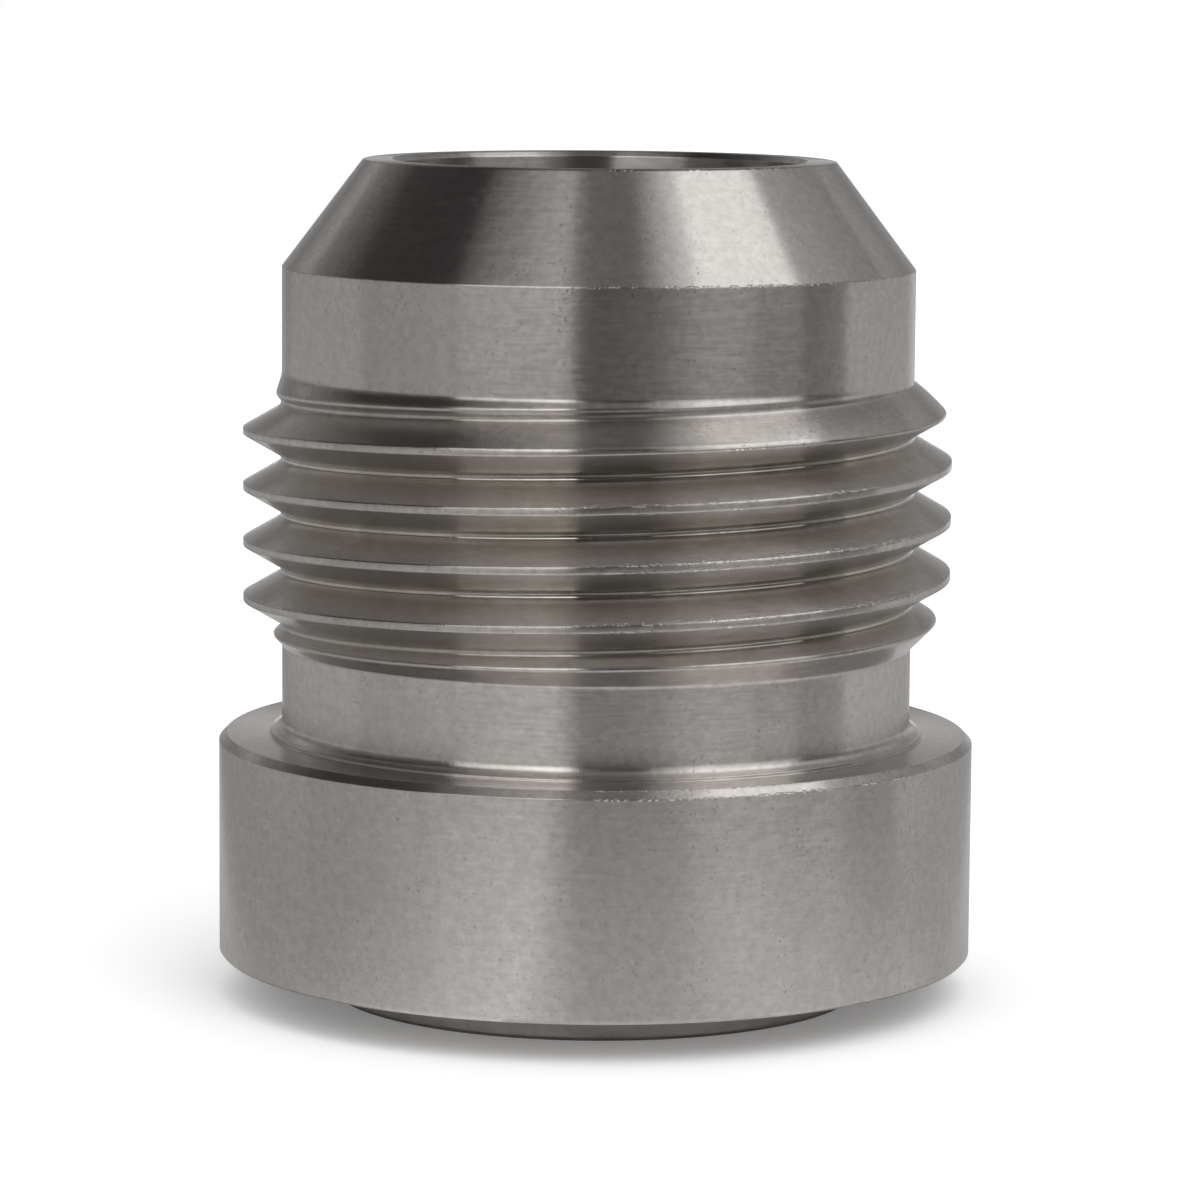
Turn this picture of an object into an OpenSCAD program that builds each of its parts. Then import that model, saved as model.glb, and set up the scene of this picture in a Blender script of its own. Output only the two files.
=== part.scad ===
// Weld-on fitting: a male 37 degree flare connector turned from one bar.
// The axis is +Z, and z = 0 is the end face of the locating spigot.

/* [Bore] */
// Diameter of the through bore
bore_d = 15.5; // [8:0.1:16.5]
// Edge break at the mouth of the bore, in the rim
bore_mouth_break = 0.18; // [0.05:0.01:0.3]
// Edge break where the bore leaves the spigot
bore_foot_break = 0.3; // [0.05:0.05:0.6]

/* [Flare seat] */
// Angle between the seat and the axis
seat_angle = 37; // [30:1:45]
// Diameter of the rim, measured to the sharp corner between rim and seat
rim_d = 17.9; // [17.8:0.1:20]
// Radius that rounds that corner
rim_round = 0.15; // [0.05:0.01:0.2]

/* [Pilot] */
// Length of the plain pilot between the seat and the thread
pilot_l = 4.1; // [1:0.1:10]
// How far the pilot lies inside the root of the thread, on the radius
pilot_relief = 0.05; // [0.02:0.01:0.6]

/* [Thread] */
// Diameter over the crests of the thread
thread_d = 26.94; // [26:0.01:30]
// Threads per inch
threads_per_inch = 12; // [11:1:16]
// Length of the thread with its two end chamfers
thread_l = 10.23; // [6:0.01:20]
// Angle between the end chamfers and the axis
chamfer_angle = 45; // [30:1:60]
// Direction from which the groove sets out, turned about the axis
thread_start = 260; // [0:1:359]

/* [Neck] */
// Length of the plain neck between the thread and the flange
neck_l = 3.42; // [1:0.01:10]
// How far the neck lies inside the root of the thread, on the radius
neck_relief = 0.05; // [0.02:0.01:0.6]
// Radius of the cove at the foot of the neck
neck_cove = 0.4; // [0.1:0.05:0.8]
// Height of the small step that the cove ends on
neck_step_h = 0.12; // [0.05:0.01:0.3]

/* [Flange] */
// Diameter of the flange
flange_d = 28.8; // [27:0.1:40]
// Thickness of the flange
flange_t = 8.45; // [3:0.05:12]
// Chamfer round the upper edge of the flange
flange_top_break = 0.28; // [0.05:0.01:0.6]
// Edge break round the lower edge of the flange, beside the weld
flange_foot_break = 0.12; // [0.05:0.01:0.6]

/* [Locating spigot] */
// Diameter of the spigot that drops into the drilled wall
spigot_d = 20.5; // [18:0.1:23]
// How far the spigot stands out of the flange
spigot_h = 1.5; // [1:0.1:3]
// Edge break round the end of the spigot
spigot_break = 0.12; // [0.05:0.01:0.4]

/* [Hidden] */

steel = [0.62, 0.61, 0.60];
mm_per_inch = 25.4;
round_fn = 96;
// Cutters start this far outside the metal, so that they leave no skin
past = 0.4;

// The unified thread form is a sharp 60 degree V, cut off at its crest and its root.
// The flat at the root is narrower than the one at the crest, as a pointed tool leaves it.
flank_angle = 30;
thread_pitch = mm_per_inch / threads_per_inch;
crest_flat = thread_pitch / 8;
root_flat = thread_pitch / 10;
thread_depth = (thread_pitch - crest_flat - root_flat) / 2 / tan(flank_angle);
crest_r = thread_d / 2;
root_r = crest_r - thread_depth;

// Radii that follow from the thread
pilot_r = root_r - pilot_relief;
neck_r = root_r - neck_relief;
flange_r = flange_d / 2;
spigot_r = spigot_d / 2;
bore_r = bore_d / 2;
rim_r = rim_d / 2;

// Heights, from the foot up
flange_top = spigot_h + flange_t;
thread_foot = flange_top + neck_l;
thread_top = thread_foot + thread_l;
pilot_top = thread_top + pilot_l;
overall_h = pilot_top + (pilot_r - rim_r) / tan(seat_angle);
foot_chamfer_h = (crest_r - neck_r) / tan(chamfer_angle);
top_chamfer_h = (crest_r - pilot_r) / tan(chamfer_angle);

// The round at the rim touches the flat rim and the sloping seat
rim_tangent = rim_round * tan((90 - seat_angle) / 2);

// The cutter's section is the thread's V, carried a little way out past the crest flat,
// so that neighbouring turns of the cutter stay apart
cutter_r = crest_r + crest_flat / 4;
cutter_mouth = root_flat + 2 * (cutter_r - root_r) * tan(flank_angle);
steps_per_turn = 60;
groove_foot = thread_foot - cutter_mouth / 2;
groove_top = thread_top + cutter_mouth / 2;
groove_steps = ceil((groove_top - groove_foot) / thread_pitch * steps_per_turn);

// Half section of the blank as it is turned, before the thread and the bore are cut
module blank_section() {
    polygon([
        [0, 0],
        [spigot_r - spigot_break, 0],
        [spigot_r, spigot_break],
        [spigot_r, spigot_h],
        [flange_r - flange_foot_break, spigot_h],
        [flange_r, spigot_h + flange_foot_break],
        [flange_r, flange_top - flange_top_break],
        [flange_r - flange_top_break, flange_top],
        [neck_r, flange_top],
        [neck_r, thread_foot],
        [crest_r, thread_foot + foot_chamfer_h],
        [crest_r, thread_top - top_chamfer_h],
        [pilot_r, thread_top],
        [pilot_r, pilot_top],
        [rim_r + rim_tangent * sin(seat_angle), overall_h - rim_tangent * cos(seat_angle)],
        [rim_r - rim_tangent, overall_h],
        [0, overall_h]
    ]);
    // The round at the rim
    translate([rim_r - rim_tangent, overall_h - rim_round])
        circle(r = rim_round, $fn = round_fn);
    // The cove at the foot of the neck, and the small step under it
    difference() {
        translate([neck_r - past, flange_top - past])
            square([neck_cove + past, neck_cove + neck_step_h + past]);
        translate([neck_r + neck_cove, flange_top + neck_step_h + neck_cove])
            circle(r = neck_cove, $fn = round_fn);
    }
}

// The four corners of the cutter's section at one step along the helix
function cutter_ring(step) =
    let (
        turn = thread_start + 360 * step / steps_per_turn,
        z = groove_foot + thread_pitch * step / steps_per_turn,
        corners = [
            [root_r, -root_flat / 2],
            [root_r, root_flat / 2],
            [cutter_r, cutter_mouth / 2],
            [cutter_r, -cutter_mouth / 2]
        ]
    )
    [for (c = corners) [c[0] * cos(turn), c[0] * sin(turn), z + c[1]]];

// The helical groove that the threading tool cuts, as one solid
module thread_groove() {
    points = [for (step = [0:groove_steps]) each cutter_ring(step)];
    last = groove_steps * 4;
    walls = [
        for (step = [0:groove_steps - 1])
            for (side = [0:3])
                let (
                    near = step * 4,
                    far = near + 4,
                    next = (side + 1) % 4
                )
                [near + next, near + side, far + side, far + next]
    ];
    ends = [[0, 1, 2, 3], [last + 3, last + 2, last + 1, last]];
    polyhedron(points = points, faces = concat(walls, ends));
}

// The through bore with an edge break at each end
module bore() {
    mouth_z = overall_h - bore_mouth_break;
    translate([0, 0, -past])
        cylinder(h = overall_h + 2 * past, r = bore_r, $fn = round_fn);
    translate([0, 0, mouth_z])
        cylinder(
            h = bore_mouth_break + past,
            r1 = bore_r,
            r2 = bore_r + bore_mouth_break + past,
            $fn = round_fn
        );
    translate([0, 0, -past])
        cylinder(
            h = bore_foot_break + past,
            r1 = bore_r + bore_foot_break + past,
            r2 = bore_r,
            $fn = round_fn
        );
}

module weld_fitting() {
    color(steel)
        difference() {
            rotate_extrude($fn = round_fn)
                blank_section();
            thread_groove();
            bore();
        }
}

weld_fitting();
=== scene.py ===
# %% [markdown]
# # A turned weld-on fitting
# The object is one piece of bare stainless steel, turned from bar on a lathe. One end carries a
# flare seat and a thread for a tube nut. The other end is a plain flange that is welded to a wall.
# This lesson dresses it in four steps: the camera, the turned body with its thread, the finish
# that the tools left on the metal, and the room that the metal reflects.

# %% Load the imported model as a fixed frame
import math

import bmesh
import bpy
from mathutils import Matrix, Vector


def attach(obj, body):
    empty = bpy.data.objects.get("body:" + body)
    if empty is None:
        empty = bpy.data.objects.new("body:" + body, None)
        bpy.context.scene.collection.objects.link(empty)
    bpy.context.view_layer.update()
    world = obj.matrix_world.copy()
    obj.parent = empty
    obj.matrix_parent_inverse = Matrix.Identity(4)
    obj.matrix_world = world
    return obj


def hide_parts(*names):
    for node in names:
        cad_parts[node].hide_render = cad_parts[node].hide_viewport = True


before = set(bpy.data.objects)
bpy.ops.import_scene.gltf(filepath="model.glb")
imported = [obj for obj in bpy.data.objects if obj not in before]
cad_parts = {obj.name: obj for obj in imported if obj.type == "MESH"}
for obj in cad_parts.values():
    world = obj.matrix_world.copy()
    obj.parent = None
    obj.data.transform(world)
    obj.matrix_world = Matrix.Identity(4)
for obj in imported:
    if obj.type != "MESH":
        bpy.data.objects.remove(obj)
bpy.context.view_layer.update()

MM = 0.001

# %% [markdown]
# ## Two small helpers
# Colours are picked as sRGB hex values, the way a swatch shows them, and Blender wants them linear.
# The second helper adds one node to any tree, sets its options and joins its inputs. An input is
# given by its name or its place, and is either a number or another node's output.


# %% Colour and node helpers
def linear(hex_value):
    """An sRGB hex colour such as #8C8A87 as the linear RGBA that Blender works in."""
    parts = [int(hex_value[i : i + 2], 16) / 255 for i in (1, 3, 5)]
    curve = [p / 12.92 if p <= 0.04045 else ((p + 0.055) / 1.055) ** 2.4 for p in parts]
    return (*curve, 1.0)


def add(tree, kind, inputs=None, **settings):
    """One new node, with its settings, and its inputs set or linked."""
    made = tree.nodes.new(kind)
    for name, value in settings.items():
        setattr(made, name, value)
    for key, value in (inputs or {}).items():
        if isinstance(value, bpy.types.NodeSocket):
            tree.links.new(value, made.inputs[key])
        else:
            made.inputs[key].default_value = value
    return made


# %% [markdown]
# ## The camera
# The photograph looks a little down at the fitting from close by, with a long lens, so the rim
# shows as a thin ellipse and the foot of the flange as a fuller one. The place, the tilt and the
# lens below were worked out from those ellipses. The small roll is the photographer's hand.

# %% Camera
camera_back = 188.57 * MM
camera_up = 39.45 * MM
camera_tilt_down = math.radians(7.40)
camera_roll = math.radians(0.436)
camera_turn = math.radians(0.04)
picture_px = 1200
focal_px = 4974

camera_data = bpy.data.cameras.new("camera")
camera_data.sensor_width = 36
camera_data.lens = camera_data.sensor_width * focal_px / picture_px
camera_data.clip_start = 10 * MM
camera = bpy.data.objects.new("camera", camera_data)
bpy.context.collection.objects.link(camera)
bpy.context.scene.camera = camera

look = Vector((
    math.sin(camera_turn) * math.cos(camera_tilt_down),
    math.cos(camera_turn) * math.cos(camera_tilt_down),
    -math.sin(camera_tilt_down),
))
level_right = Vector((math.cos(camera_turn), -math.sin(camera_turn), 0))
level_up = level_right.cross(look)
right = level_right * math.cos(camera_roll) + level_up * math.sin(camera_roll)
up = level_up * math.cos(camera_roll) - level_right * math.sin(camera_roll)
turned = Matrix((right, up, -look)).transposed().to_4x4()
camera.matrix_world = Matrix.Translation((0, -camera_back, camera_up)) @ turned
print("lens in mm:", round(camera_data.lens, 1))

# %% [markdown]
# ## The sizes of the turned body
# These are the sizes the fitting is drawn with, in millimetres. The thread sets the scale: it is
# the unified 60 degree form with twelve threads to the inch, and its depth, its flats and the
# diameters beside it all follow from the pitch.

# %% Sizes in millimetres
bore_r = 15.5 / 2
bore_mouth_break = 0.18
bore_foot_break = 0.3
seat_angle = math.radians(37)
rim_r = 17.9 / 2
pilot_l = 4.1
pilot_relief = 0.05
crest_r = 26.94 / 2
thread_l = 10.23
chamfer_slope = math.tan(math.radians(45))
thread_start = math.radians(260)
neck_l = 3.42
neck_relief = 0.05
neck_cove = 0.4
neck_step_h = 0.12
flange_r = 28.8 / 2
flange_t = 8.45
flange_top_break = 0.28
flange_foot_break = 0.12
spigot_r = 20.5 / 2
spigot_h = 1.5
spigot_break = 0.12

pitch = 25.4 / 12
flank_angle = math.radians(30)
crest_flat = pitch / 8
root_flat = pitch / 10
thread_depth = (pitch - crest_flat - root_flat) / 2 / math.tan(flank_angle)
root_r = crest_r - thread_depth
pilot_r = root_r - pilot_relief
neck_r = root_r - neck_relief

flange_top = spigot_h + flange_t
thread_foot = flange_top + neck_l
thread_top = thread_foot + thread_l
pilot_top = thread_top + pilot_l
overall_h = pilot_top + (pilot_r - rim_r) / math.tan(seat_angle)
print("height:", round(overall_h, 3), "pilot radius:", round(pilot_r, 3))

# %% [markdown]
# ## The profile that the lathe follows
# A turned piece is one outline swept round an axis. No corner on a real one is truly sharp: the
# nose of the tool or a touch of a file leaves a radius of a few hundredths, and that is what
# catches a line of light. So the outline is a list of corners, each with its own small radius.
# Close rows of points beside each arc hold the flat faces flat when the mesh is shaded smooth.


# %% An outline with rounded corners
def rounded_outline(corners, longest=1.0, guard=0.05, arc_step=30):
    """Points along straight runs and corner arcs. A corner is (radius, height, rounding)."""
    spots = [Vector(corner[:2]) for corner in corners]
    arcs = [[spots[0]]]
    for i in range(1, len(corners) - 1):
        before = (spots[i - 1] - spots[i]).normalized()
        after = (spots[i + 1] - spots[i]).normalized()
        half = before.angle(after) / 2
        rounding = corners[i][2]
        reach = rounding / math.tan(half)
        centre = spots[i] + (before + after).normalized() * (rounding / math.sin(half))
        start = spots[i] + before * reach - centre
        sweep = start.angle_signed(spots[i] + after * reach - centre)
        steps = max(2, math.ceil(abs(math.degrees(sweep)) / arc_step))
        arcs.append([
            centre + Matrix.Rotation(-sweep * k / steps, 2) @ start for k in range(steps + 1)
        ])
    arcs.append([spots[-1]])
    points = []
    for arc, next_arc in zip(arcs, arcs[1:]):
        points += arc
        run = next_arc[0] - arc[-1]
        near = min(guard, run.length / 3)
        middle = run.length - 2 * near
        parts = max(1, math.ceil(middle / longest))
        points += [
            arc[-1] + run.normalized() * (near + middle * k / parts) for k in range(parts + 1)
        ]
    points += arcs[-1]
    return [(p.x, p.y) for p in points]


tool_nose = 0.03
rim_rounding, shoulder_rounding = 0.15, 0.07
step_land = 0.04
blend_h = 0.35
band_top = thread_top + blend_h
band_foot = thread_foot - blend_h
bore_middle = overall_h / 2

upper_outline = rounded_outline([
    (bore_r, bore_middle, 0),
    (bore_r, overall_h - bore_mouth_break, tool_nose),
    (bore_r + bore_mouth_break, overall_h, tool_nose),
    (rim_r, overall_h, rim_rounding),
    (pilot_r, pilot_top, shoulder_rounding),
    (pilot_r, band_top, 0),
])
lower_outline = rounded_outline([
    (neck_r, band_foot, 0),
    (neck_r, flange_top + neck_step_h, neck_cove),
    (neck_r + neck_cove + step_land, flange_top + neck_step_h, tool_nose),
    (neck_r + neck_cove + step_land, flange_top, tool_nose),
    (flange_r - flange_top_break, flange_top, tool_nose),
    (flange_r, flange_top - flange_top_break, tool_nose),
    (flange_r, spigot_h + flange_foot_break, tool_nose),
    (flange_r - flange_foot_break, spigot_h, tool_nose),
    (spigot_r, spigot_h, tool_nose),
    (spigot_r, spigot_break, tool_nose),
    (spigot_r - spigot_break, 0, tool_nose),
    (bore_r + bore_foot_break, 0, tool_nose),
    (bore_r, bore_foot_break, tool_nose),
    (bore_r, bore_middle, 0),
])
print("outline rows:", len(upper_outline), "above the thread,", len(lower_outline), "below")

# %% [markdown]
# ## The thread, as rows that climb with the helix
# On the real piece a pointed tool moves up one pitch for each turn of the bar and leaves a V
# groove. Rows of points that stay level would cut across that groove and leave its edges ragged.
# So between the two chamfers the rows climb one pitch in each turn, and every crest and root has
# rows of its own. At both ends the rows are held at the end of the band, and the ones that pile
# up there are merged away.

# %% Rows of the thread band
half_root = root_flat / 2
half_mouth = half_root + thread_depth * math.tan(flank_angle)
corner_guard = 0.035
flank_rows = 9
flank_low, flank_high = half_root + corner_guard, half_mouth - corner_guard

one_side = [half_root - 2 * corner_guard, half_root - corner_guard, half_root]
one_side += [flank_low + (flank_high - flank_low) * k / flank_rows for k in range(flank_rows + 1)]
one_side += [half_mouth, half_mouth + corner_guard]
one_pitch = sorted([0.0, pitch / 2] + one_side + [-offset for offset in one_side])

cutter_r = crest_r + crest_flat / 4
cutter_mouth = root_flat + 2 * (cutter_r - root_r) * math.tan(flank_angle)
groove_z0 = thread_foot - cutter_mouth / 2 - pitch * thread_start / math.tau
top_turn = math.floor((thread_top - groove_z0) / pitch) - 1

turns = range(-2, math.ceil((band_top - groove_z0) / pitch) + 2)
climbing = sorted(groove_z0 + pitch * turn + offset for turn in turns for offset in one_pitch)
lowest = max(i for i, z in enumerate(climbing) if z <= band_foot - pitch)
highest = min(i for i, z in enumerate(climbing) if z >= band_top)
climbing = climbing[lowest : highest + 1][::-1]
print("thread rows:", len(climbing), "with", len(one_pitch), "in each pitch")

# %% [markdown]
# The outline goes to the node tree as a bare line of points: how far each one is from the axis,
# how high it is, and whether it climbs with the helix.

# %% The outline as a mesh of points
rows = [(r, z, 0.0) for r, z in upper_outline]
rows += [(crest_r, z, 1.0) for z in climbing]
rows += [(r, z, 0.0) for r, z in lower_outline]

outline_mesh = bpy.data.meshes.new("outline")
outline_mesh.from_pydata([(r, 0, z) for r, z, climbs in rows], [], [])
climb_layer = outline_mesh.attributes.new("climbs", "FLOAT", "POINT")
climb_layer.data.foreach_set("value", [climbs for r, z, climbs in rows])
proud_edges = [
    (rim_r, overall_h), (pilot_r, pilot_top),
    (flange_r - flange_top_break, flange_top), (flange_r, flange_top - flange_top_break),
]
edge_width = 0.05
edge_layer = outline_mesh.attributes.new("proud", "FLOAT", "POINT")
edge_layer.data.foreach_set("value", [
    max(0.0, 1.0 - min(math.dist((r, z), edge) for edge in proud_edges) / edge_width) ** 0.5
    for r, z, climbs in rows
])
outline = bpy.data.objects.new("outline", outline_mesh)
bpy.context.collection.objects.link(outline)
print("rows in all:", len(rows))

# %% [markdown]
# ## The finish: stainless steel as turned
# Nothing was done to this metal after the lathe but rubbing down its thin edges. The feed of the
# tool leaves fine rings round the axis, and a ring spreads a reflection up and down but hardly
# sideways. That is why a turned part shows tall soft streaks. In the shader this is anisotropy
# with a tangent that runs round the axis. The rings themselves are a noise that is squeezed along
# the axis and across the faces. The metal keeps the default index of refraction.

# %% Turned stainless steel
steel = bpy.data.materials.new("stainless_steel_as_turned")
steel.use_nodes = True
tree = steel.node_tree
tree.nodes.clear()

ring_spacing = 0.11 * MM
ring_run = 1.5 * MM
mottle_size = 1.6 * MM
grain_size = 0.34 * MM
pit_size = 0.12 * MM
nick_size = 0.16 * MM
patch_size = 3 * MM
print("finest pattern in mm:", round(min(ring_spacing, pit_size, nick_size) / MM, 2))

place = add(tree, "ShaderNodeTexCoord").outputs["Object"]
flat_place = add(
    tree, "ShaderNodeVectorMath", {0: place, 1: (1, 1, 0)}, operation="MULTIPLY",
).outputs[0]
from_axis = add(tree, "ShaderNodeVectorMath", {0: flat_place}, operation="LENGTH").outputs["Value"]
squeeze = (1 / ring_run, 1 / ring_run, 1 / ring_spacing)
ring_place = add(
    tree, "ShaderNodeVectorMath", {0: place, 1: squeeze}, operation="MULTIPLY",
).outputs[0]
ring_w = add(
    tree, "ShaderNodeMath", {0: from_axis, 1: 1 / ring_spacing}, operation="MULTIPLY",
).outputs[0]
rings = add(
    tree, "ShaderNodeTexNoise",
    {"Vector": ring_place, "W": ring_w, "Scale": 1.0, "Detail": 3.0, "Roughness": 0.65},
    noise_dimensions="4D",
).outputs["Fac"]
mottle = add(
    tree, "ShaderNodeTexNoise",
    {"Vector": place, "Scale": 1 / mottle_size, "Detail": 4.0, "Roughness": 0.6},
).outputs["Fac"]
grain = add(
    tree, "ShaderNodeTexNoise",
    {"Vector": place, "Scale": 1 / grain_size, "Detail": 2.0, "Roughness": 0.6},
).outputs["Fac"]
tone = add(
    tree, "ShaderNodeMix",
    {0: mottle, 6: linear("#C9C5C1"), 7: linear("#D7D2CE")}, data_type="RGBA",
).outputs[2]
ring_shade = add(
    tree, "ShaderNodeMapRange",
    {"Value": rings, "From Min": 0.3, "From Max": 0.7, "To Min": 0.95, "To Max": 1.05},
).outputs[0]
grain_shade = add(
    tree, "ShaderNodeMapRange",
    {"Value": grain, "From Min": 0.32, "From Max": 0.68, "To Min": 0.93, "To Max": 1.07},
).outputs[0]
shade = add(
    tree, "ShaderNodeMath", {0: ring_shade, 1: grain_shade}, operation="MULTIPLY",
).outputs[0]

# %% [markdown]
# The tool tears a little of this tough metal out as it passes, which leaves small dark pits. The
# grooves are drawn darker and browner the deeper they are: in part a painted shade of the recess,
# in part a patchy film of cutting oil and dust. Edges that stand proud are knocked in use: the tree
# marks them with an attribute, and the finish breaks that mark into small nicks that come in
# groups.
# Their relief is real, and on the side that faces the lit card they are also painted near white,
# as glints.
# The pits lie closer together in some patches than in others. The neck is drawn a little brighter
# than the rest.

# %% Pits, and the brighter neck
neck_brighter = 0.15
pit_darkness = 0.26
specks = add(
    tree, "ShaderNodeTexNoise",
    {"Vector": place, "Scale": 1 / pit_size, "Detail": 1.0, "Roughness": 0.5},
).outputs["Fac"]
all_pits = add(
    tree, "ShaderNodeMapRange",
    {"Value": specks, "From Min": 0.27, "From Max": 0.37, "To Min": 1.0, "To Max": 0.0},
).outputs[0]
torn_here = add(
    tree, "ShaderNodeMapRange",
    {"Value": mottle, "From Min": 0.45, "From Max": 0.58, "To Min": 0.25, "To Max": 1.0},
).outputs[0]
pits = add(tree, "ShaderNodeMath", {0: all_pits, 1: torn_here}, operation="MULTIPLY").outputs[0]
pit_shade = add(
    tree, "ShaderNodeMath", {0: pits, 1: -pit_darkness, 2: 1.0}, operation="MULTIPLY_ADD",
).outputs[0]
pitted = add(tree, "ShaderNodeMath", {0: shade, 1: pit_shade}, operation="MULTIPLY").outputs[0]
up_axis = add(tree, "ShaderNodeSeparateXYZ", {0: place}).outputs["Z"]
over_flange = add(
    tree, "ShaderNodeMath", {0: up_axis, 1: flange_top * MM}, operation="GREATER_THAN",
).outputs[0]
under_thread = add(
    tree, "ShaderNodeMath", {0: up_axis, 1: thread_foot * MM}, operation="LESS_THAN",
).outputs[0]
on_neck = add(
    tree, "ShaderNodeMath", {0: over_flange, 1: under_thread}, operation="MULTIPLY",
).outputs[0]
neck_shade = add(
    tree, "ShaderNodeMath", {0: on_neck, 1: neck_brighter, 2: 1.0}, operation="MULTIPLY_ADD",
).outputs[0]
all_shades = add(
    tree, "ShaderNodeMath", {0: pitted, 1: neck_shade}, operation="MULTIPLY",
).outputs[0]
colour = add(
    tree, "ShaderNodeVectorMath", {0: tone, "Scale": all_shades}, operation="SCALE",
).outputs[0]

# %% Painted groove shade, with a patchy film of oil and dust
most_shade_and_stain = 0.35
depth = add(tree, "ShaderNodeAttribute", attribute_name="groove_depth").outputs["Fac"]
groove_shade_and_oil = add(
    tree, "ShaderNodeMapRange",
    {"Value": depth, "From Min": 0.07, "From Max": 0.77, "To Min": 0.0, "To Max": most_shade_and_stain},
).outputs[0]
patch_noise = add(
    tree, "ShaderNodeTexNoise",
    {"Vector": place, "Scale": 1 / patch_size, "Detail": 3.0, "Roughness": 0.6},
).outputs["Fac"]
shade_and_stain_patches = add(
    tree, "ShaderNodeMapRange",
    {"Value": patch_noise, "From Min": 0.4, "From Max": 0.62, "To Min": 0.35, "To Max": 1.0},
).outputs[0]
shaded_and_stained = add(tree, "ShaderNodeMath", {0: groove_shade_and_oil, 1: shade_and_stain_patches}, operation="MULTIPLY").outputs[0]
# The groove colour darkens and browns with depth: a painted shade of the recess, patchy where oil
# and dust lie.
in_groove = add(
    tree, "ShaderNodeMix", {0: shaded_and_stained, 6: colour, 7: linear("#A0947E")}, data_type="RGBA",
).outputs[2]

# %% Nicks, painted near white as glints, mostly on the side that faces the lit card
lit_side_turn = math.radians(32)
worn_and_glint_edges = add(tree, "ShaderNodeAttribute", attribute_name="edge_wear_and_glint").outputs["Fac"]
knocks = add(
    tree, "ShaderNodeTexNoise",
    {"Vector": place, "Scale": 1 / nick_size, "Detail": 1.0, "Roughness": 0.5},
).outputs["Fac"]
small_knocks = add(
    tree, "ShaderNodeMapRange",
    {"Value": knocks, "From Min": 0.52, "From Max": 0.6, "To Min": 0.0, "To Max": 1.0},
).outputs[0]
groups = add(
    tree, "ShaderNodeMapRange",
    {"Value": patch_noise, "From Min": 0.4, "From Max": 0.5, "To Min": 0.0, "To Max": 1.0},
).outputs[0]
toward_lit_side = (math.sin(lit_side_turn), -math.cos(lit_side_turn), 0)
outward_way = add(tree, "ShaderNodeVectorMath", {0: flat_place}, operation="NORMALIZE").outputs[0]
facing = add(
    tree, "ShaderNodeVectorMath", {0: outward_way, 1: toward_lit_side}, operation="DOT_PRODUCT",
).outputs["Value"]
lit_side = add(
    tree, "ShaderNodeMapRange",
    {"Value": facing, "From Min": 0.8, "From Max": 0.92, "To Min": 0.12, "To Max": 1.0},
).outputs[0]
glint_places = add(
    tree, "ShaderNodeMath", {0: groups, 1: lit_side}, operation="MULTIPLY",
).outputs[0]
knocks_and_glints = add(
    tree, "ShaderNodeMath", {0: small_knocks, 1: glint_places}, operation="MULTIPLY",
).outputs[0]
edge_nicks_and_glints = add(tree, "ShaderNodeMath", {0: worn_and_glint_edges, 1: knocks_and_glints}, operation="MULTIPLY").outputs[0]
# Painted glint: the nicks are drawn near white, most of all on the side that faces the lit card;
# their bump is real relief.
worn_and_glinting = add(
    tree, "ShaderNodeMix", {0: edge_nicks_and_glints, 6: in_groove, 7: linear("#F2F0EE")}, data_type="RGBA",
).outputs[2]

# %% [markdown]
# The rings also set how rough the metal is. The nose of the thread tool burnishes the root of the
# groove, so it is smoother and shows thin bright lines. The rings are drawn coarser than the marks
# that a real feed leaves, because finer ones would vanish at this picture's size.

# %% Roughness, relief and the shader
smoothest, roughest, burnished = 0.23, 0.27, 0.14
ring_depth_mm, pit_depth_mm, nick_height_mm = 0.0008, 0.002, 0.03
ring_rough = add(
    tree, "ShaderNodeMapRange",
    {"Value": rings, "From Min": 0.3, "From Max": 0.7, "To Min": smoothest, "To Max": roughest},
).outputs[0]
at_root = add(
    tree, "ShaderNodeMapRange",
    {"Value": depth, "From Min": 0.82, "From Max": 0.93, "To Min": 0.0, "To Max": 1.0},
).outputs[0]
rough = add(
    tree, "ShaderNodeMix", {0: at_root, 2: ring_rough, 3: burnished}, data_type="FLOAT",
).outputs[0]
ring_relief = add(
    tree, "ShaderNodeMath", {0: rings, 1: ring_depth_mm}, operation="MULTIPLY",
).outputs[0]
pit_relief = add(
    tree, "ShaderNodeMath", {0: pits, 1: -pit_depth_mm, 2: ring_relief}, operation="MULTIPLY_ADD",
).outputs[0]
relief = add(
    tree, "ShaderNodeMath", {0: edge_nicks_and_glints, 1: nick_height_mm, 2: pit_relief}, operation="MULTIPLY_ADD",
).outputs[0]
ring_bump = add(
    tree, "ShaderNodeBump", {"Height": relief, "Strength": 1.0, "Distance": MM},
).outputs[0]
round_axis = add(tree, "ShaderNodeTangent", direction_type="RADIAL", axis="Z").outputs[0]
shader = add(
    tree, "ShaderNodeBsdfPrincipled",
    {"Base Color": worn_and_glinting, "Metallic": 1.0, "Roughness": rough, "Normal": ring_bump,
     "Anisotropic": 0.94, "Anisotropic Rotation": 0.25, "Tangent": round_axis},
)
add(tree, "ShaderNodeOutputMaterial", {"Surface": shader.outputs[0]})

# %% [markdown]
# ## Sweeping the outline round the axis
# The tree lays a flat grid with one column for each step round the axis and one row for each
# point of the outline. It then bends the grid into the turned body. On the thread rows it works
# out two radii, the blank's with its two chamfers and the groove's, and keeps the smaller one, as
# a cutter does. Blending the two over a few hundredths gives the crests their slightly rubbed
# edges. The first crest is blended more, because its thin feather edge is taken off with a file.

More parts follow.
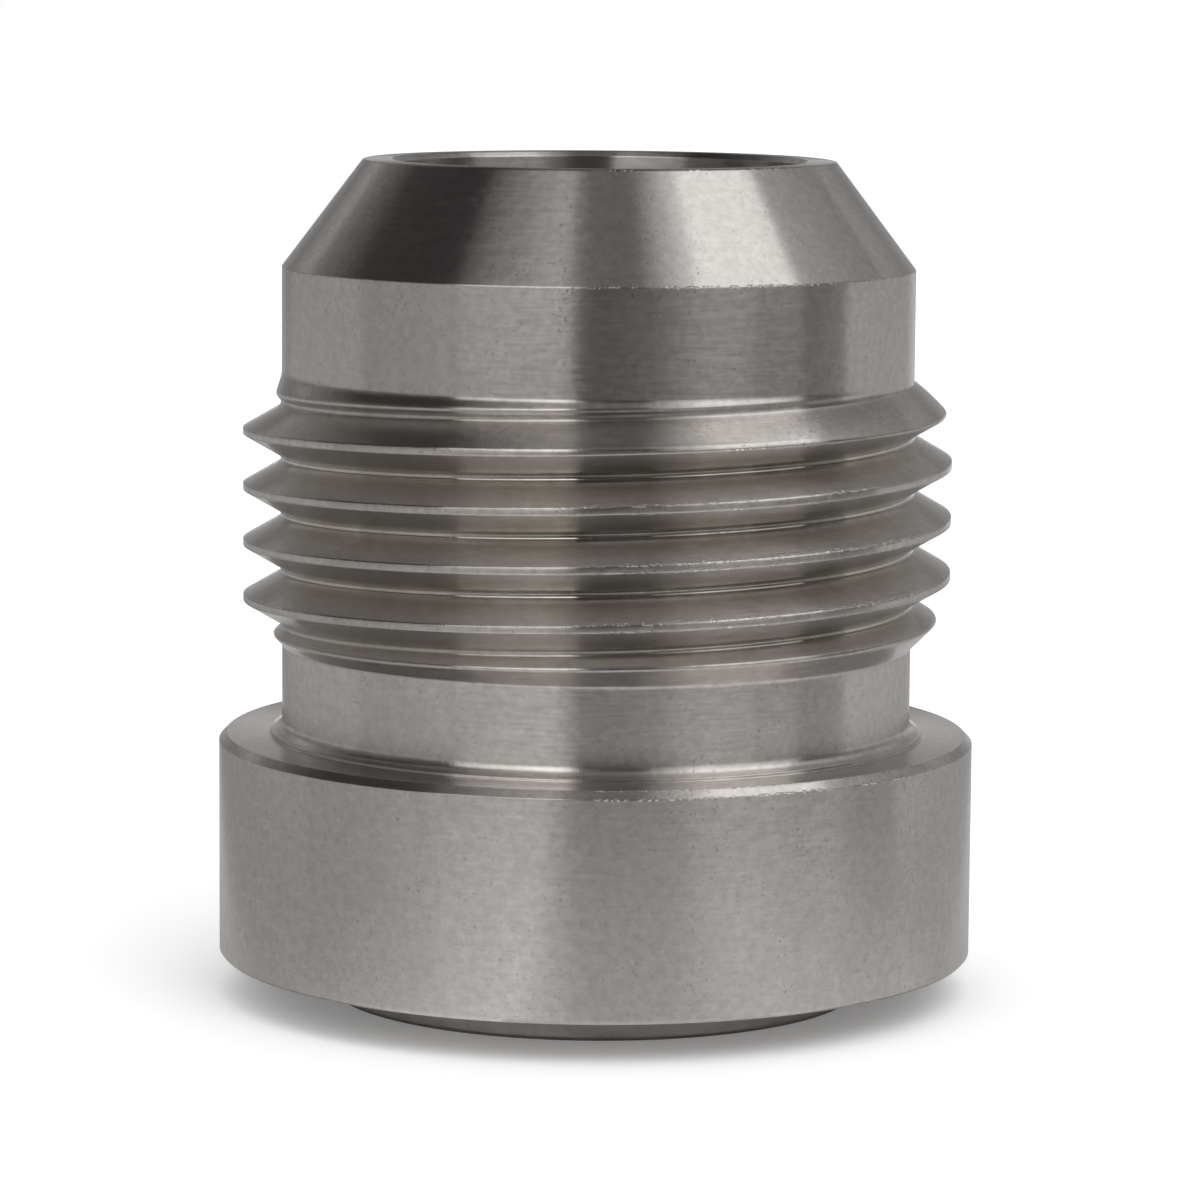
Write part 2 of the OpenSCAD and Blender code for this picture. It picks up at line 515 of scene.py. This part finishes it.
# %% The node tree and its inputs
turning = bpy.data.node_groups.new("turned_body", "GeometryNodeTree")
turning.is_modifier = True
sizes = {
    "Columns": 288,
    "Rows": len(rows),
    "Pitch": pitch,
    "Crest radius": crest_r,
    "Root radius": root_r,
    "Root flat": root_flat,
    "Flank rise": 1 / math.tan(flank_angle),
    "Pilot radius": pilot_r,
    "Neck radius": neck_r,
    "Thread top": thread_top,
    "Thread foot": thread_foot,
    "Chamfer slope": chamfer_slope,
    "Band top": band_top,
    "Band foot": band_foot,
    "Groove height": groove_z0,
}
turning.interface.new_socket("Outline", in_out="INPUT", socket_type="NodeSocketGeometry")
socket_of = {}
for name, value in sizes.items():
    kind = "NodeSocketInt" if isinstance(value, int) else "NodeSocketFloat"
    socket_of[name] = turning.interface.new_socket(
        name, in_out="INPUT", socket_type=kind
    ).identifier
socket_of["Metal"] = turning.interface.new_socket(
    "Metal", in_out="INPUT", socket_type="NodeSocketMaterial"
).identifier
turning.interface.new_socket("Body", in_out="OUTPUT", socket_type="NodeSocketGeometry")

given = add(turning, "NodeGroupInput").outputs

# %% Grid, angle and height
columns_and_seam = add(
    turning, "ShaderNodeMath", {0: given["Columns"], 1: 1}, operation="ADD",
).outputs[0]
last_row = add(turning, "ShaderNodeMath", {0: given["Rows"], 1: 1}, operation="SUBTRACT").outputs[0]
grid = add(
    turning, "GeometryNodeMeshGrid",
    {"Size X": 1.0, "Size Y": 1.0, "Vertices X": columns_and_seam, "Vertices Y": given["Rows"]},
).outputs["Mesh"]
grid_place = add(turning, "GeometryNodeInputPosition").outputs[0]
from_corner = add(
    turning, "ShaderNodeVectorMath", {0: grid_place, 1: (0.5, 0.5, 0)}, operation="ADD",
).outputs[0]
share = add(turning, "ShaderNodeSeparateXYZ", {0: from_corner}).outputs
row_exact = add(
    turning, "ShaderNodeMath", {0: share["Y"], 1: last_row}, operation="MULTIPLY",
).outputs[0]
row = add(turning, "ShaderNodeMath", {0: row_exact}, operation="ROUND").outputs[0]
angle = add(
    turning, "ShaderNodeMath", {0: share["X"], 1: math.tau}, operation="MULTIPLY",
).outputs[0]
rise = add(
    turning, "ShaderNodeMath", {0: share["X"], 1: given["Pitch"]}, operation="MULTIPLY",
).outputs[0]

outline_place = add(turning, "GeometryNodeInputPosition").outputs[0]
row_place = add(
    turning, "GeometryNodeSampleIndex",
    {"Geometry": given["Outline"], "Value": outline_place, "Index": row}, data_type="FLOAT_VECTOR",
).outputs[0]
climb_value = add(
    turning, "GeometryNodeInputNamedAttribute", {"Name": "climbs"}, data_type="FLOAT",
).outputs[0]
climbs = add(
    turning, "GeometryNodeSampleIndex",
    {"Geometry": given["Outline"], "Value": climb_value, "Index": row}, data_type="FLOAT",
).outputs[0]
edge_value = add(
    turning, "GeometryNodeInputNamedAttribute", {"Name": "proud"}, data_type="FLOAT",
).outputs[0]
proud = add(
    turning, "GeometryNodeSampleIndex",
    {"Geometry": given["Outline"], "Value": edge_value, "Index": row}, data_type="FLOAT",
).outputs[0]
row_at = add(turning, "ShaderNodeSeparateXYZ", {0: row_place}).outputs

climbed = add(turning, "ShaderNodeMath", {0: row_at["Z"], 1: rise}, operation="ADD").outputs[0]
held = add(
    turning, "ShaderNodeClamp",
    {"Value": climbed, "Min": given["Band foot"], "Max": given["Band top"]},
).outputs[0]
height = add(
    turning, "ShaderNodeMix", {0: climbs, 2: row_at["Z"], 3: held}, data_type="FLOAT",
).outputs[0]

# %% [markdown]
# The blank under the thread is as wide as the crests and has a chamfer at each end, so that a nut
# starts easily. On this fitting the tool ran a little deeper on the left of the front, where it
# entered. There the upper chamfer is steeper, which shows in the photograph as a first crest that
# is lower on that side. The visual model follows that; the CAD keeps the even chamfer.

# %% The blank, with a chamfer at each end of the thread
soft_corner = 0.03
cone_foot_blend = 0.1
entry_reach, entry_steeper = 0.22, 0.67
below_top = add(
    turning, "ShaderNodeMath", {0: given["Thread top"], 1: height}, operation="SUBTRACT",
).outputs[0]
groove_height = add(
    turning, "ShaderNodeMath", {0: given["Groove height"], 1: rise}, operation="ADD",
).outputs[0]
last_groove = add(
    turning, "ShaderNodeMath",
    {0: given["Pitch"], 1: top_turn, 2: groove_height}, operation="MULTIPLY_ADD",
).outputs[0]
past_last = add(
    turning, "ShaderNodeMath", {0: height, 1: last_groove}, operation="GREATER_THAN",
).outputs[0]
from_entry = add(
    turning, "ShaderNodeMath", {0: share["X"], 1: 0.5}, operation="SUBTRACT",
).outputs[0]
entry_gap = add(turning, "ShaderNodeMath", {0: from_entry}, operation="ABSOLUTE").outputs[0]
entry_cut = add(
    turning, "ShaderNodeMapRange",
    {"Value": entry_gap, "From Min": 0.0, "From Max": entry_reach,
     "To Min": entry_steeper, "To Max": 0.0},
    interpolation_type="SMOOTHSTEP",
).outputs[0]
cut_here = add(
    turning, "ShaderNodeMath", {0: entry_cut, 1: past_last}, operation="MULTIPLY",
).outputs[0]
top_slope = add(
    turning, "ShaderNodeMath", {0: given["Chamfer slope"], 1: cut_here}, operation="SUBTRACT",
).outputs[0]
top_cone = add(
    turning, "ShaderNodeMath", {0: below_top, 1: top_slope, 2: given["Pilot radius"]},
    operation="MULTIPLY_ADD",
).outputs[0]
top_side = add(
    turning, "ShaderNodeMath",
    {0: top_cone, 1: given["Pilot radius"], 2: cone_foot_blend}, operation="SMOOTH_MAX",
).outputs[0]
above_foot = add(
    turning, "ShaderNodeMath", {0: height, 1: given["Thread foot"]}, operation="SUBTRACT",
).outputs[0]
foot_cone = add(
    turning, "ShaderNodeMath", {0: above_foot, 1: given["Chamfer slope"], 2: given["Neck radius"]},
    operation="MULTIPLY_ADD",
).outputs[0]
foot_side = add(
    turning, "ShaderNodeMath",
    {0: foot_cone, 1: given["Neck radius"], 2: cone_foot_blend}, operation="SMOOTH_MAX",
).outputs[0]
both_cones = add(
    turning, "ShaderNodeMath", {0: top_side, 1: foot_side}, operation="MINIMUM",
).outputs[0]
blank_radius = add(
    turning, "ShaderNodeMath", {0: both_cones, 1: given["Crest radius"], 2: soft_corner},
    operation="SMOOTH_MIN",
).outputs[0]

# %% [markdown]
# The groove is a V with a narrow flat at its root, repeated every pitch: the height above the
# groove's own line is wrapped into one pitch, and the distance from the middle of the V gives the
# radius. At both ends of the thread the crest runs out to a thin ridge, which is rubbed down so
# that it doesn't cut the hand. That is a wider blend between the blank and the groove there.

# %% The groove, and the smaller of the two radii
root_rounding = root_flat / 2.2
crest_rounding, top_ridge_rounding, foot_ridge_rounding = 0.05, 0.6, 0.45
off_groove = add(
    turning, "ShaderNodeMath", {0: height, 1: groove_height}, operation="SUBTRACT",
).outputs[0]
half_pitch = add(
    turning, "ShaderNodeMath", {0: given["Pitch"], 1: 0.5}, operation="MULTIPLY",
).outputs[0]
minus_half = add(
    turning, "ShaderNodeMath", {0: half_pitch, 1: -1.0}, operation="MULTIPLY",
).outputs[0]
nearest = add(
    turning, "ShaderNodeMath", {0: off_groove, 1: half_pitch, 2: minus_half}, operation="WRAP",
).outputs[0]
across = add(turning, "ShaderNodeMath", {0: nearest}, operation="ABSOLUTE").outputs[0]
half_flat = add(
    turning, "ShaderNodeMath", {0: given["Root flat"], 1: 0.5}, operation="MULTIPLY",
).outputs[0]
past_flat = add(
    turning, "ShaderNodeMath", {0: across, 1: half_flat}, operation="SUBTRACT",
).outputs[0]
on_flank = add(
    turning, "ShaderNodeMath", {0: past_flat, 1: 0.0, 2: root_rounding}, operation="SMOOTH_MAX",
).outputs[0]
groove_radius = add(
    turning, "ShaderNodeMath", {0: on_flank, 1: given["Flank rise"], 2: given["Root radius"]},
    operation="MULTIPLY_ADD",
).outputs[0]

top_dressing = add(
    turning, "ShaderNodeMapRange",
    {"Value": below_top, "From Min": 1.35, "From Max": 1.6,
     "To Min": top_ridge_rounding, "To Max": crest_rounding},
).outputs[0]
foot_dressing = add(
    turning, "ShaderNodeMapRange",
    {"Value": above_foot, "From Min": 1.3, "From Max": 1.7,
     "To Min": foot_ridge_rounding, "To Max": crest_rounding},
).outputs[0]
dressing = add(
    turning, "ShaderNodeMath", {0: top_dressing, 1: foot_dressing}, operation="MAXIMUM",
).outputs[0]
thread_radius = add(
    turning, "ShaderNodeMath",
    {0: blank_radius, 1: groove_radius, 2: dressing}, operation="SMOOTH_MIN",
).outputs[0]
held_radius = add(
    turning, "ShaderNodeMath", {0: thread_radius, 1: given["Pilot radius"]}, operation="MAXIMUM",
).outputs[0]
radius = add(
    turning, "ShaderNodeMix", {0: climbs, 2: row_at["X"], 3: held_radius}, data_type="FLOAT",
).outputs[0]

# %% [markdown]
# The finish needs to know two things: where the edges are and how deep a groove is. An edge is
# where the groove's radius and the blank's are the same. Where they are blended, what the eye
# takes for the edge lies a little way into the groove, so the mark moves there with the blend. The
# blank also has to stand out from the pilot, and for the upper edge of a crest it has to be almost
# at full width. Both are stored on the points, and the material reads them by name.

# %% What the finish needs to know, stored on the points
edge_half_width, edge_fade = 0.03, 0.1
edge_shift = 0.6
ridge_stands_out, full_crest = 0.6, 0.8
past_meeting = add(
    turning, "ShaderNodeMath", {0: groove_radius, 1: blank_radius}, operation="SUBTRACT",
).outputs[0]
past_rounding = add(
    turning, "ShaderNodeMath",
    {0: dressing, 1: edge_shift, 2: past_meeting}, operation="MULTIPLY_ADD",
).outputs[0]
edge_gap = add(turning, "ShaderNodeMath", {0: past_rounding}, operation="ABSOLUTE").outputs[0]
near_edge = add(
    turning, "ShaderNodeMapRange",
    {"Value": edge_gap, "From Min": edge_half_width, "From Max": edge_fade,
     "To Min": 1.0, "To Max": 0.0},
).outputs[0]
upper_edge = add(turning, "ShaderNodeMath", {0: nearest, 1: 0.0}, operation="LESS_THAN").outputs[0]
least_radius = add(
    turning, "ShaderNodeMath",
    {0: upper_edge, 1: full_crest, 2: pilot_r + ridge_stands_out}, operation="MULTIPLY_ADD",
).outputs[0]
standing_out = add(
    turning, "ShaderNodeMath", {0: blank_radius, 1: least_radius}, operation="GREATER_THAN",
).outputs[0]
edge_here = add(
    turning, "ShaderNodeMath", {0: near_edge, 1: standing_out}, operation="MULTIPLY",
).outputs[0]
thread_edge = add(
    turning, "ShaderNodeMath", {0: edge_here, 1: climbs}, operation="MULTIPLY",
).outputs[0]
any_edge = add(
    turning, "ShaderNodeMath", {0: thread_edge, 1: proud}, operation="MAXIMUM",
).outputs[0]
below_crest = add(
    turning, "ShaderNodeMath", {0: blank_radius, 1: held_radius}, operation="SUBTRACT",
).outputs[0]
below_on_thread = add(
    turning, "ShaderNodeMath", {0: below_crest, 1: climbs}, operation="MULTIPLY",
).outputs[0]
groove_depth = add(
    turning, "ShaderNodeMath", {0: below_on_thread, 1: thread_depth}, operation="DIVIDE",
).outputs[0]

# %% Bend the grid into the body
same_point = 0.001 * MM
cosine = add(turning, "ShaderNodeMath", {0: angle}, operation="COSINE").outputs[0]
sine = add(turning, "ShaderNodeMath", {0: angle}, operation="SINE").outputs[0]
out_x = add(turning, "ShaderNodeMath", {0: radius, 1: cosine}, operation="MULTIPLY").outputs[0]
out_y = add(turning, "ShaderNodeMath", {0: radius, 1: sine}, operation="MULTIPLY").outputs[0]
in_mm = add(turning, "ShaderNodeCombineXYZ", {0: out_x, 1: out_y, 2: height}).outputs[0]
in_metres = add(
    turning, "ShaderNodeVectorMath", {0: in_mm, "Scale": MM}, operation="SCALE",
).outputs[0]

marked = add(
    turning, "GeometryNodeStoreNamedAttribute",
    {"Geometry": grid, "Name": "edge_wear_and_glint", "Value": any_edge}, data_type="FLOAT", domain="POINT",
).outputs[0]
shaded = add(
    turning, "GeometryNodeStoreNamedAttribute",
    {"Geometry": marked, "Name": "groove_depth", "Value": groove_depth},
    data_type="FLOAT", domain="POINT",
).outputs[0]
bent = add(
    turning, "GeometryNodeSetPosition", {"Geometry": shaded, "Position": in_metres},
).outputs[0]
closed = add(
    turning, "GeometryNodeMergeByDistance", {"Geometry": bent, "Distance": same_point},
).outputs[0]
outward = add(turning, "GeometryNodeFlipFaces", {"Mesh": closed}).outputs[0]
smooth = add(turning, "GeometryNodeSetShadeSmooth", {0: outward}).outputs[0]
real = add(turning, "GeometryNodeRealizeInstances", {0: smooth}).outputs[0]
dressed = add(
    turning, "GeometryNodeSetMaterial", {"Geometry": real, "Material": given["Metal"]},
).outputs[0]
add(turning, "NodeGroupOutput", {"Body": dressed})

# %% Set the inputs, and keep the result as a plain mesh
modifier = outline.modifiers.new("turning", "NODES")
modifier.node_group = turning
for name, value in sizes.items():
    modifier[socket_of[name]] = value
modifier[socket_of["Metal"]] = steel
depsgraph = bpy.context.evaluated_depsgraph_get()
body_mesh = bpy.data.meshes.new_from_object(outline.evaluated_get(depsgraph), depsgraph=depsgraph)
body_mesh.name = "turned_body"
body_mesh.materials.clear()
body_mesh.materials.append(steel)
bpy.data.objects.remove(outline)

body = bpy.data.objects.new("turned_body", body_mesh)
bpy.context.collection.objects.link(body)
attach(body, "root")
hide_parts("weld_fitting")
triangles = sum(len(face.vertices) - 2 for face in body_mesh.polygons)
print("triangles:", triangles, "materials:", [m.name for m in body_mesh.materials])

# %% Measure the mesh: it has to be closed, with its normals outward
probe = bmesh.new()
probe.from_mesh(body_mesh)
open_edges = sum(1 for edge in probe.edges if len(edge.link_faces) != 2)
print("open edges:", open_edges, "volume in mm3:", round(probe.calc_volume(signed=True) / MM**3, 1))
probe.free()

# %% [markdown]
# ## Floor and room
# The fitting stands on white paper in a white room. The paper has a faint glow for camera rays
# alone, so it is white in the picture and yet adds no light. Metal sees it a little grey, as
# paper is outside the patch that a lamp lights. The floor keeps the fitting's shadow.

# %% Floor
half_floor = 3.0
camera_glow = 0.12
floor_mesh = bpy.data.meshes.new("floor")
floor_mesh.from_pydata(
    [(x * half_floor, y * half_floor, 0) for x, y in ((-1, -1), (1, -1), (1, 1), (-1, 1))],
    [], [(0, 1, 2, 3)],
)
floor = bpy.data.objects.new("floor", floor_mesh)
bpy.context.collection.objects.link(floor)
paper = bpy.data.materials.new("matt_white_paper")
paper.use_nodes = True
paper.node_tree.nodes.clear()
ray = add(paper.node_tree, "ShaderNodeLightPath").outputs
paper_tone = add(
    paper.node_tree, "ShaderNodeMix",
    {0: ray["Is Glossy Ray"], 6: linear("#FCFCFC"), 7: linear("#BCBCBC")}, data_type="RGBA",
).outputs[2]
paper_diffuse = add(paper.node_tree, "ShaderNodeBsdfDiffuse", {"Color": paper_tone}).outputs[0]
lift = add(
    paper.node_tree, "ShaderNodeMath",
    {0: ray["Is Camera Ray"], 1: camera_glow}, operation="MULTIPLY",
).outputs[0]
paper_glow = add(
    paper.node_tree, "ShaderNodeEmission", {"Color": (1, 1, 1, 1), "Strength": lift},
).outputs[0]
paper_surface = add(
    paper.node_tree, "ShaderNodeAddShader", {0: paper_diffuse, 1: paper_glow},
).outputs[0]
add(paper.node_tree, "ShaderNodeOutputMaterial", {"Surface": paper_surface})
floor_mesh.materials.append(paper)

# %% World
room = bpy.data.worlds.new("white_room")
room.use_nodes = True
room.node_tree.nodes.clear()
room_light = add(
    room.node_tree, "ShaderNodeBackground", {"Color": (1, 1, 1, 1), "Strength": 1.0},
).outputs[0]
add(room.node_tree, "ShaderNodeOutputWorld", {"Surface": room_light})
bpy.context.scene.world = room

# %% [markdown]
# ## The cards that the metal mirrors
# Bare metal shows little colour of its own: what the eye reads is what it mirrors. On a product
# photographer's table that is a ring of dark and lit cards. A turned part mirrors them as tall
# streaks, and a streak keeps its place from the cone down to the flange, because every face with
# the same turn looks at the same side of the room. So each card is placed by the faces that see
# it: a range of turns round the axis and a range of tilts, from walls to flat tops. The line of
# sight from the camera is mirrored in such a face, and the card lies where it ends. All cards
# share their edges, so no white leaks in between them, and all are at one distance but for the
# ones that would end under the floor, which lie just above the paper.

# %% Where a face of the metal looks
card_distance = 300 * MM
least_card_height = 0.5 * MM
mirror_height = 0.6 * overall_h


def mirrored_at(face_turn, face_tilt):
    """Where the camera's line of sight ends, once a face that looks this way has mirrored it."""
    turn, tilt = math.radians(face_turn), math.radians(face_tilt)
    level = Vector((math.sin(turn), -math.cos(turn), 0))
    outward = level * math.cos(tilt) + Vector((0, 0, math.sin(tilt)))
    spot = (level * pilot_r + Vector((0, 0, mirror_height))) * MM
    onward = (spot - camera.matrix_world.translation).normalized().reflect(outward)
    reach = card_distance
    if onward.z < 0:
        reach = min(reach, (spot.z - least_card_height) / -onward.z)
    return spot + onward * reach


# %% One card
def reflector(name, turns, tilts, tones):
    """A card for the faces that turn and tilt this far, with its tone at its left and right edges.

    A face with turn 0 looks at the camera, and with 90 to its right. Tilt 0 is a wall, 90 a top.
    """
    across_steps, up_steps = 16, 12
    points = []
    for j in range(up_steps + 1):
        tilt = tilts[0] + (tilts[1] - tilts[0]) * j / up_steps
        for i in range(across_steps + 1):
            turn = turns[0] + (turns[1] - turns[0]) * i / across_steps
            points.append(mirrored_at(turn, tilt))
    wide = across_steps + 1
    faces = [
        (j * wide + i, j * wide + i + 1, (j + 1) * wide + i + 1, (j + 1) * wide + i)
        for j in range(up_steps) for i in range(across_steps)
    ]
    mesh = bpy.data.meshes.new(name)
    mesh.from_pydata(points, [], faces)
    tone_layer = mesh.attributes.new("tone", "FLOAT", "POINT")
    shares = [i / across_steps for j in range(up_steps + 1) for i in range(wide)]
    tone_layer.data.foreach_set(
        "value", [tones[0] + (tones[1] - tones[0]) * share for share in shares]
    )
    card = bpy.data.objects.new(name, mesh)
    bpy.context.collection.objects.link(card)
    glow = bpy.data.materials.new(name)
    glow.use_nodes = True
    glow.node_tree.nodes.clear()
    tone = add(glow.node_tree, "ShaderNodeAttribute", attribute_name="tone").outputs["Fac"]
    surface = add(
        glow.node_tree, "ShaderNodeEmission", {"Color": (1, 1, 1, 1), "Strength": tone},
    ).outputs[0]
    add(glow.node_tree, "ShaderNodeOutputMaterial", {"Surface": surface})
    mesh.materials.append(glow)
    card.visible_camera = False
    card.visible_diffuse = False
    card.visible_shadow = False
    card.visible_transmission = False


# %% [markdown]
# The tones were matched to the photograph, streak by streak. The paper cards show
# in the flange, the low ones in all straight walls, the raised ones in fillets and coves, the
# overhead ones in the cone and the chamfers, and the ones behind in the thread's flanks and the
# top of the flange. The dark cards in the middle stand for the camera. The edge cards light the
# rims where the metal turns away, and the two far ones hide the white room from the flat top.

# %% All cards, from the paper up
on_paper, low, raised = (-40, -8), (-8, 8), (8, 26)
overhead, behind, flat_top = (26, 52), (52, 86), (86, 90)
reflector("paper_left", (-89, -30), on_paper, (0.22, 0.4))
reflector("paper_left_front", (-30, -6), on_paper, (0.4, 0.82))
reflector("paper_front", (-6, 12), on_paper, (0.58, 0.57))
reflector("paper_right_front", (12, 36), on_paper, (0.7, 0.59))
reflector("paper_right", (36, 89), on_paper, (0.46, 0.28))
reflector("low_edge_left", (-89, -74), low, (0.6, 0.35))
reflector("low_far_left", (-74, -46), low, (0.47, 0.5))
reflector("low_left", (-46, -26), low, (0.39, 0.48))
reflector("low_left_front", (-26, -5), low, (0.34, 0.1))
reflector("low_camera", (-5, 9), low, (0.03, 0.15))
reflector("low_right_front", (9, 28), low, (0.1, 0.15))
reflector("low_right", (28, 49), low, (0.04, 0.3))
reflector("low_far_right", (49, 74), low, (0.57, 0.46))
reflector("low_edge_right", (74, 89), low, (0.45, 1.0))
reflector("raised_edge_left", (-89, -74), raised, (0.5, 0.15))
reflector("raised_far_left", (-74, -60), raised, (0.18, 0.15))
reflector("raised_left", (-60, -25), raised, (0.18, 0.04))
reflector("raised_left_front", (-25, -4), raised, (0.85, 1.9))
reflector("raised_camera", (-4, 9), raised, (0.1, 0.02))
reflector("raised_right_front", (9, 18), raised, (0.2, 0.95))
reflector("raised_right", (18, 38), raised, (1.1, 0.55))
reflector("raised_far_right", (38, 74), raised, (0.02, 0.3))
reflector("raised_edge_right", (74, 89), raised, (0.3, 0.8))
reflector("over_edge_left", (-89, -74), overhead, (0.35, 0.22))
reflector("over_far_left", (-74, -62), overhead, (0.18, 0.39))
reflector("over_left_edge", (-62, -46), overhead, (0.23, 0.03))
reflector("over_left", (-46, -26), overhead, (0.03, 0.03))
reflector("over_left_front", (-26, -5), overhead, (0.0, 0.42))
reflector("over_camera", (-5, 7), overhead, (0.18, 0.18))
reflector("over_right_front", (7, 17), overhead, (0.18, 0.93))
reflector("lit_panel", (17, 36), overhead, (1.27, 1.23))
reflector("over_right", (36, 60), overhead, (0.51, 0.26))
reflector("over_far_right", (60, 74), overhead, (0.4, 0.22))
reflector("over_edge_right", (74, 89), overhead, (0.25, 0.4))
reflector("behind_edge_left", (-89, -70), behind, (0.35, 0.15))
reflector("behind_left", (-70, -30), behind, (0.3, 0.05))
reflector("behind_middle", (-30, 30), behind, (0.03, 0.03))
reflector("behind_right", (30, 70), behind, (0.05, 0.3))
reflector("behind_edge_right", (70, 89), behind, (0.2, 0.35))
reflector("far_high", (-89, 89), flat_top, (0.42, 0.42))
reflector("far_low", (91, 269), flat_top, (0.42, 0.42))

# %% [markdown]
# One soft lamp stands at the front right, and gives the shadow its side. The metal doesn't
# mirror it, because the cards already stand for all that the metal sees.

# %% Soft lamp
lamp_data = bpy.data.lights.new("soft_front", "AREA")
lamp_data.shape = "DISK"
lamp_data.size = 0.3
lamp_data.energy = 0.4
lamp = bpy.data.objects.new("soft_front", lamp_data)
lamp.location = (0.14, -0.26, 0.32)
lamp.rotation_euler = Vector(lamp.location).to_track_quat("Z", "Y").to_euler()
lamp.visible_glossy = False
bpy.context.collection.objects.link(lamp)

# %% Standard view transform
bpy.context.scene.view_settings.view_transform = "Standard"
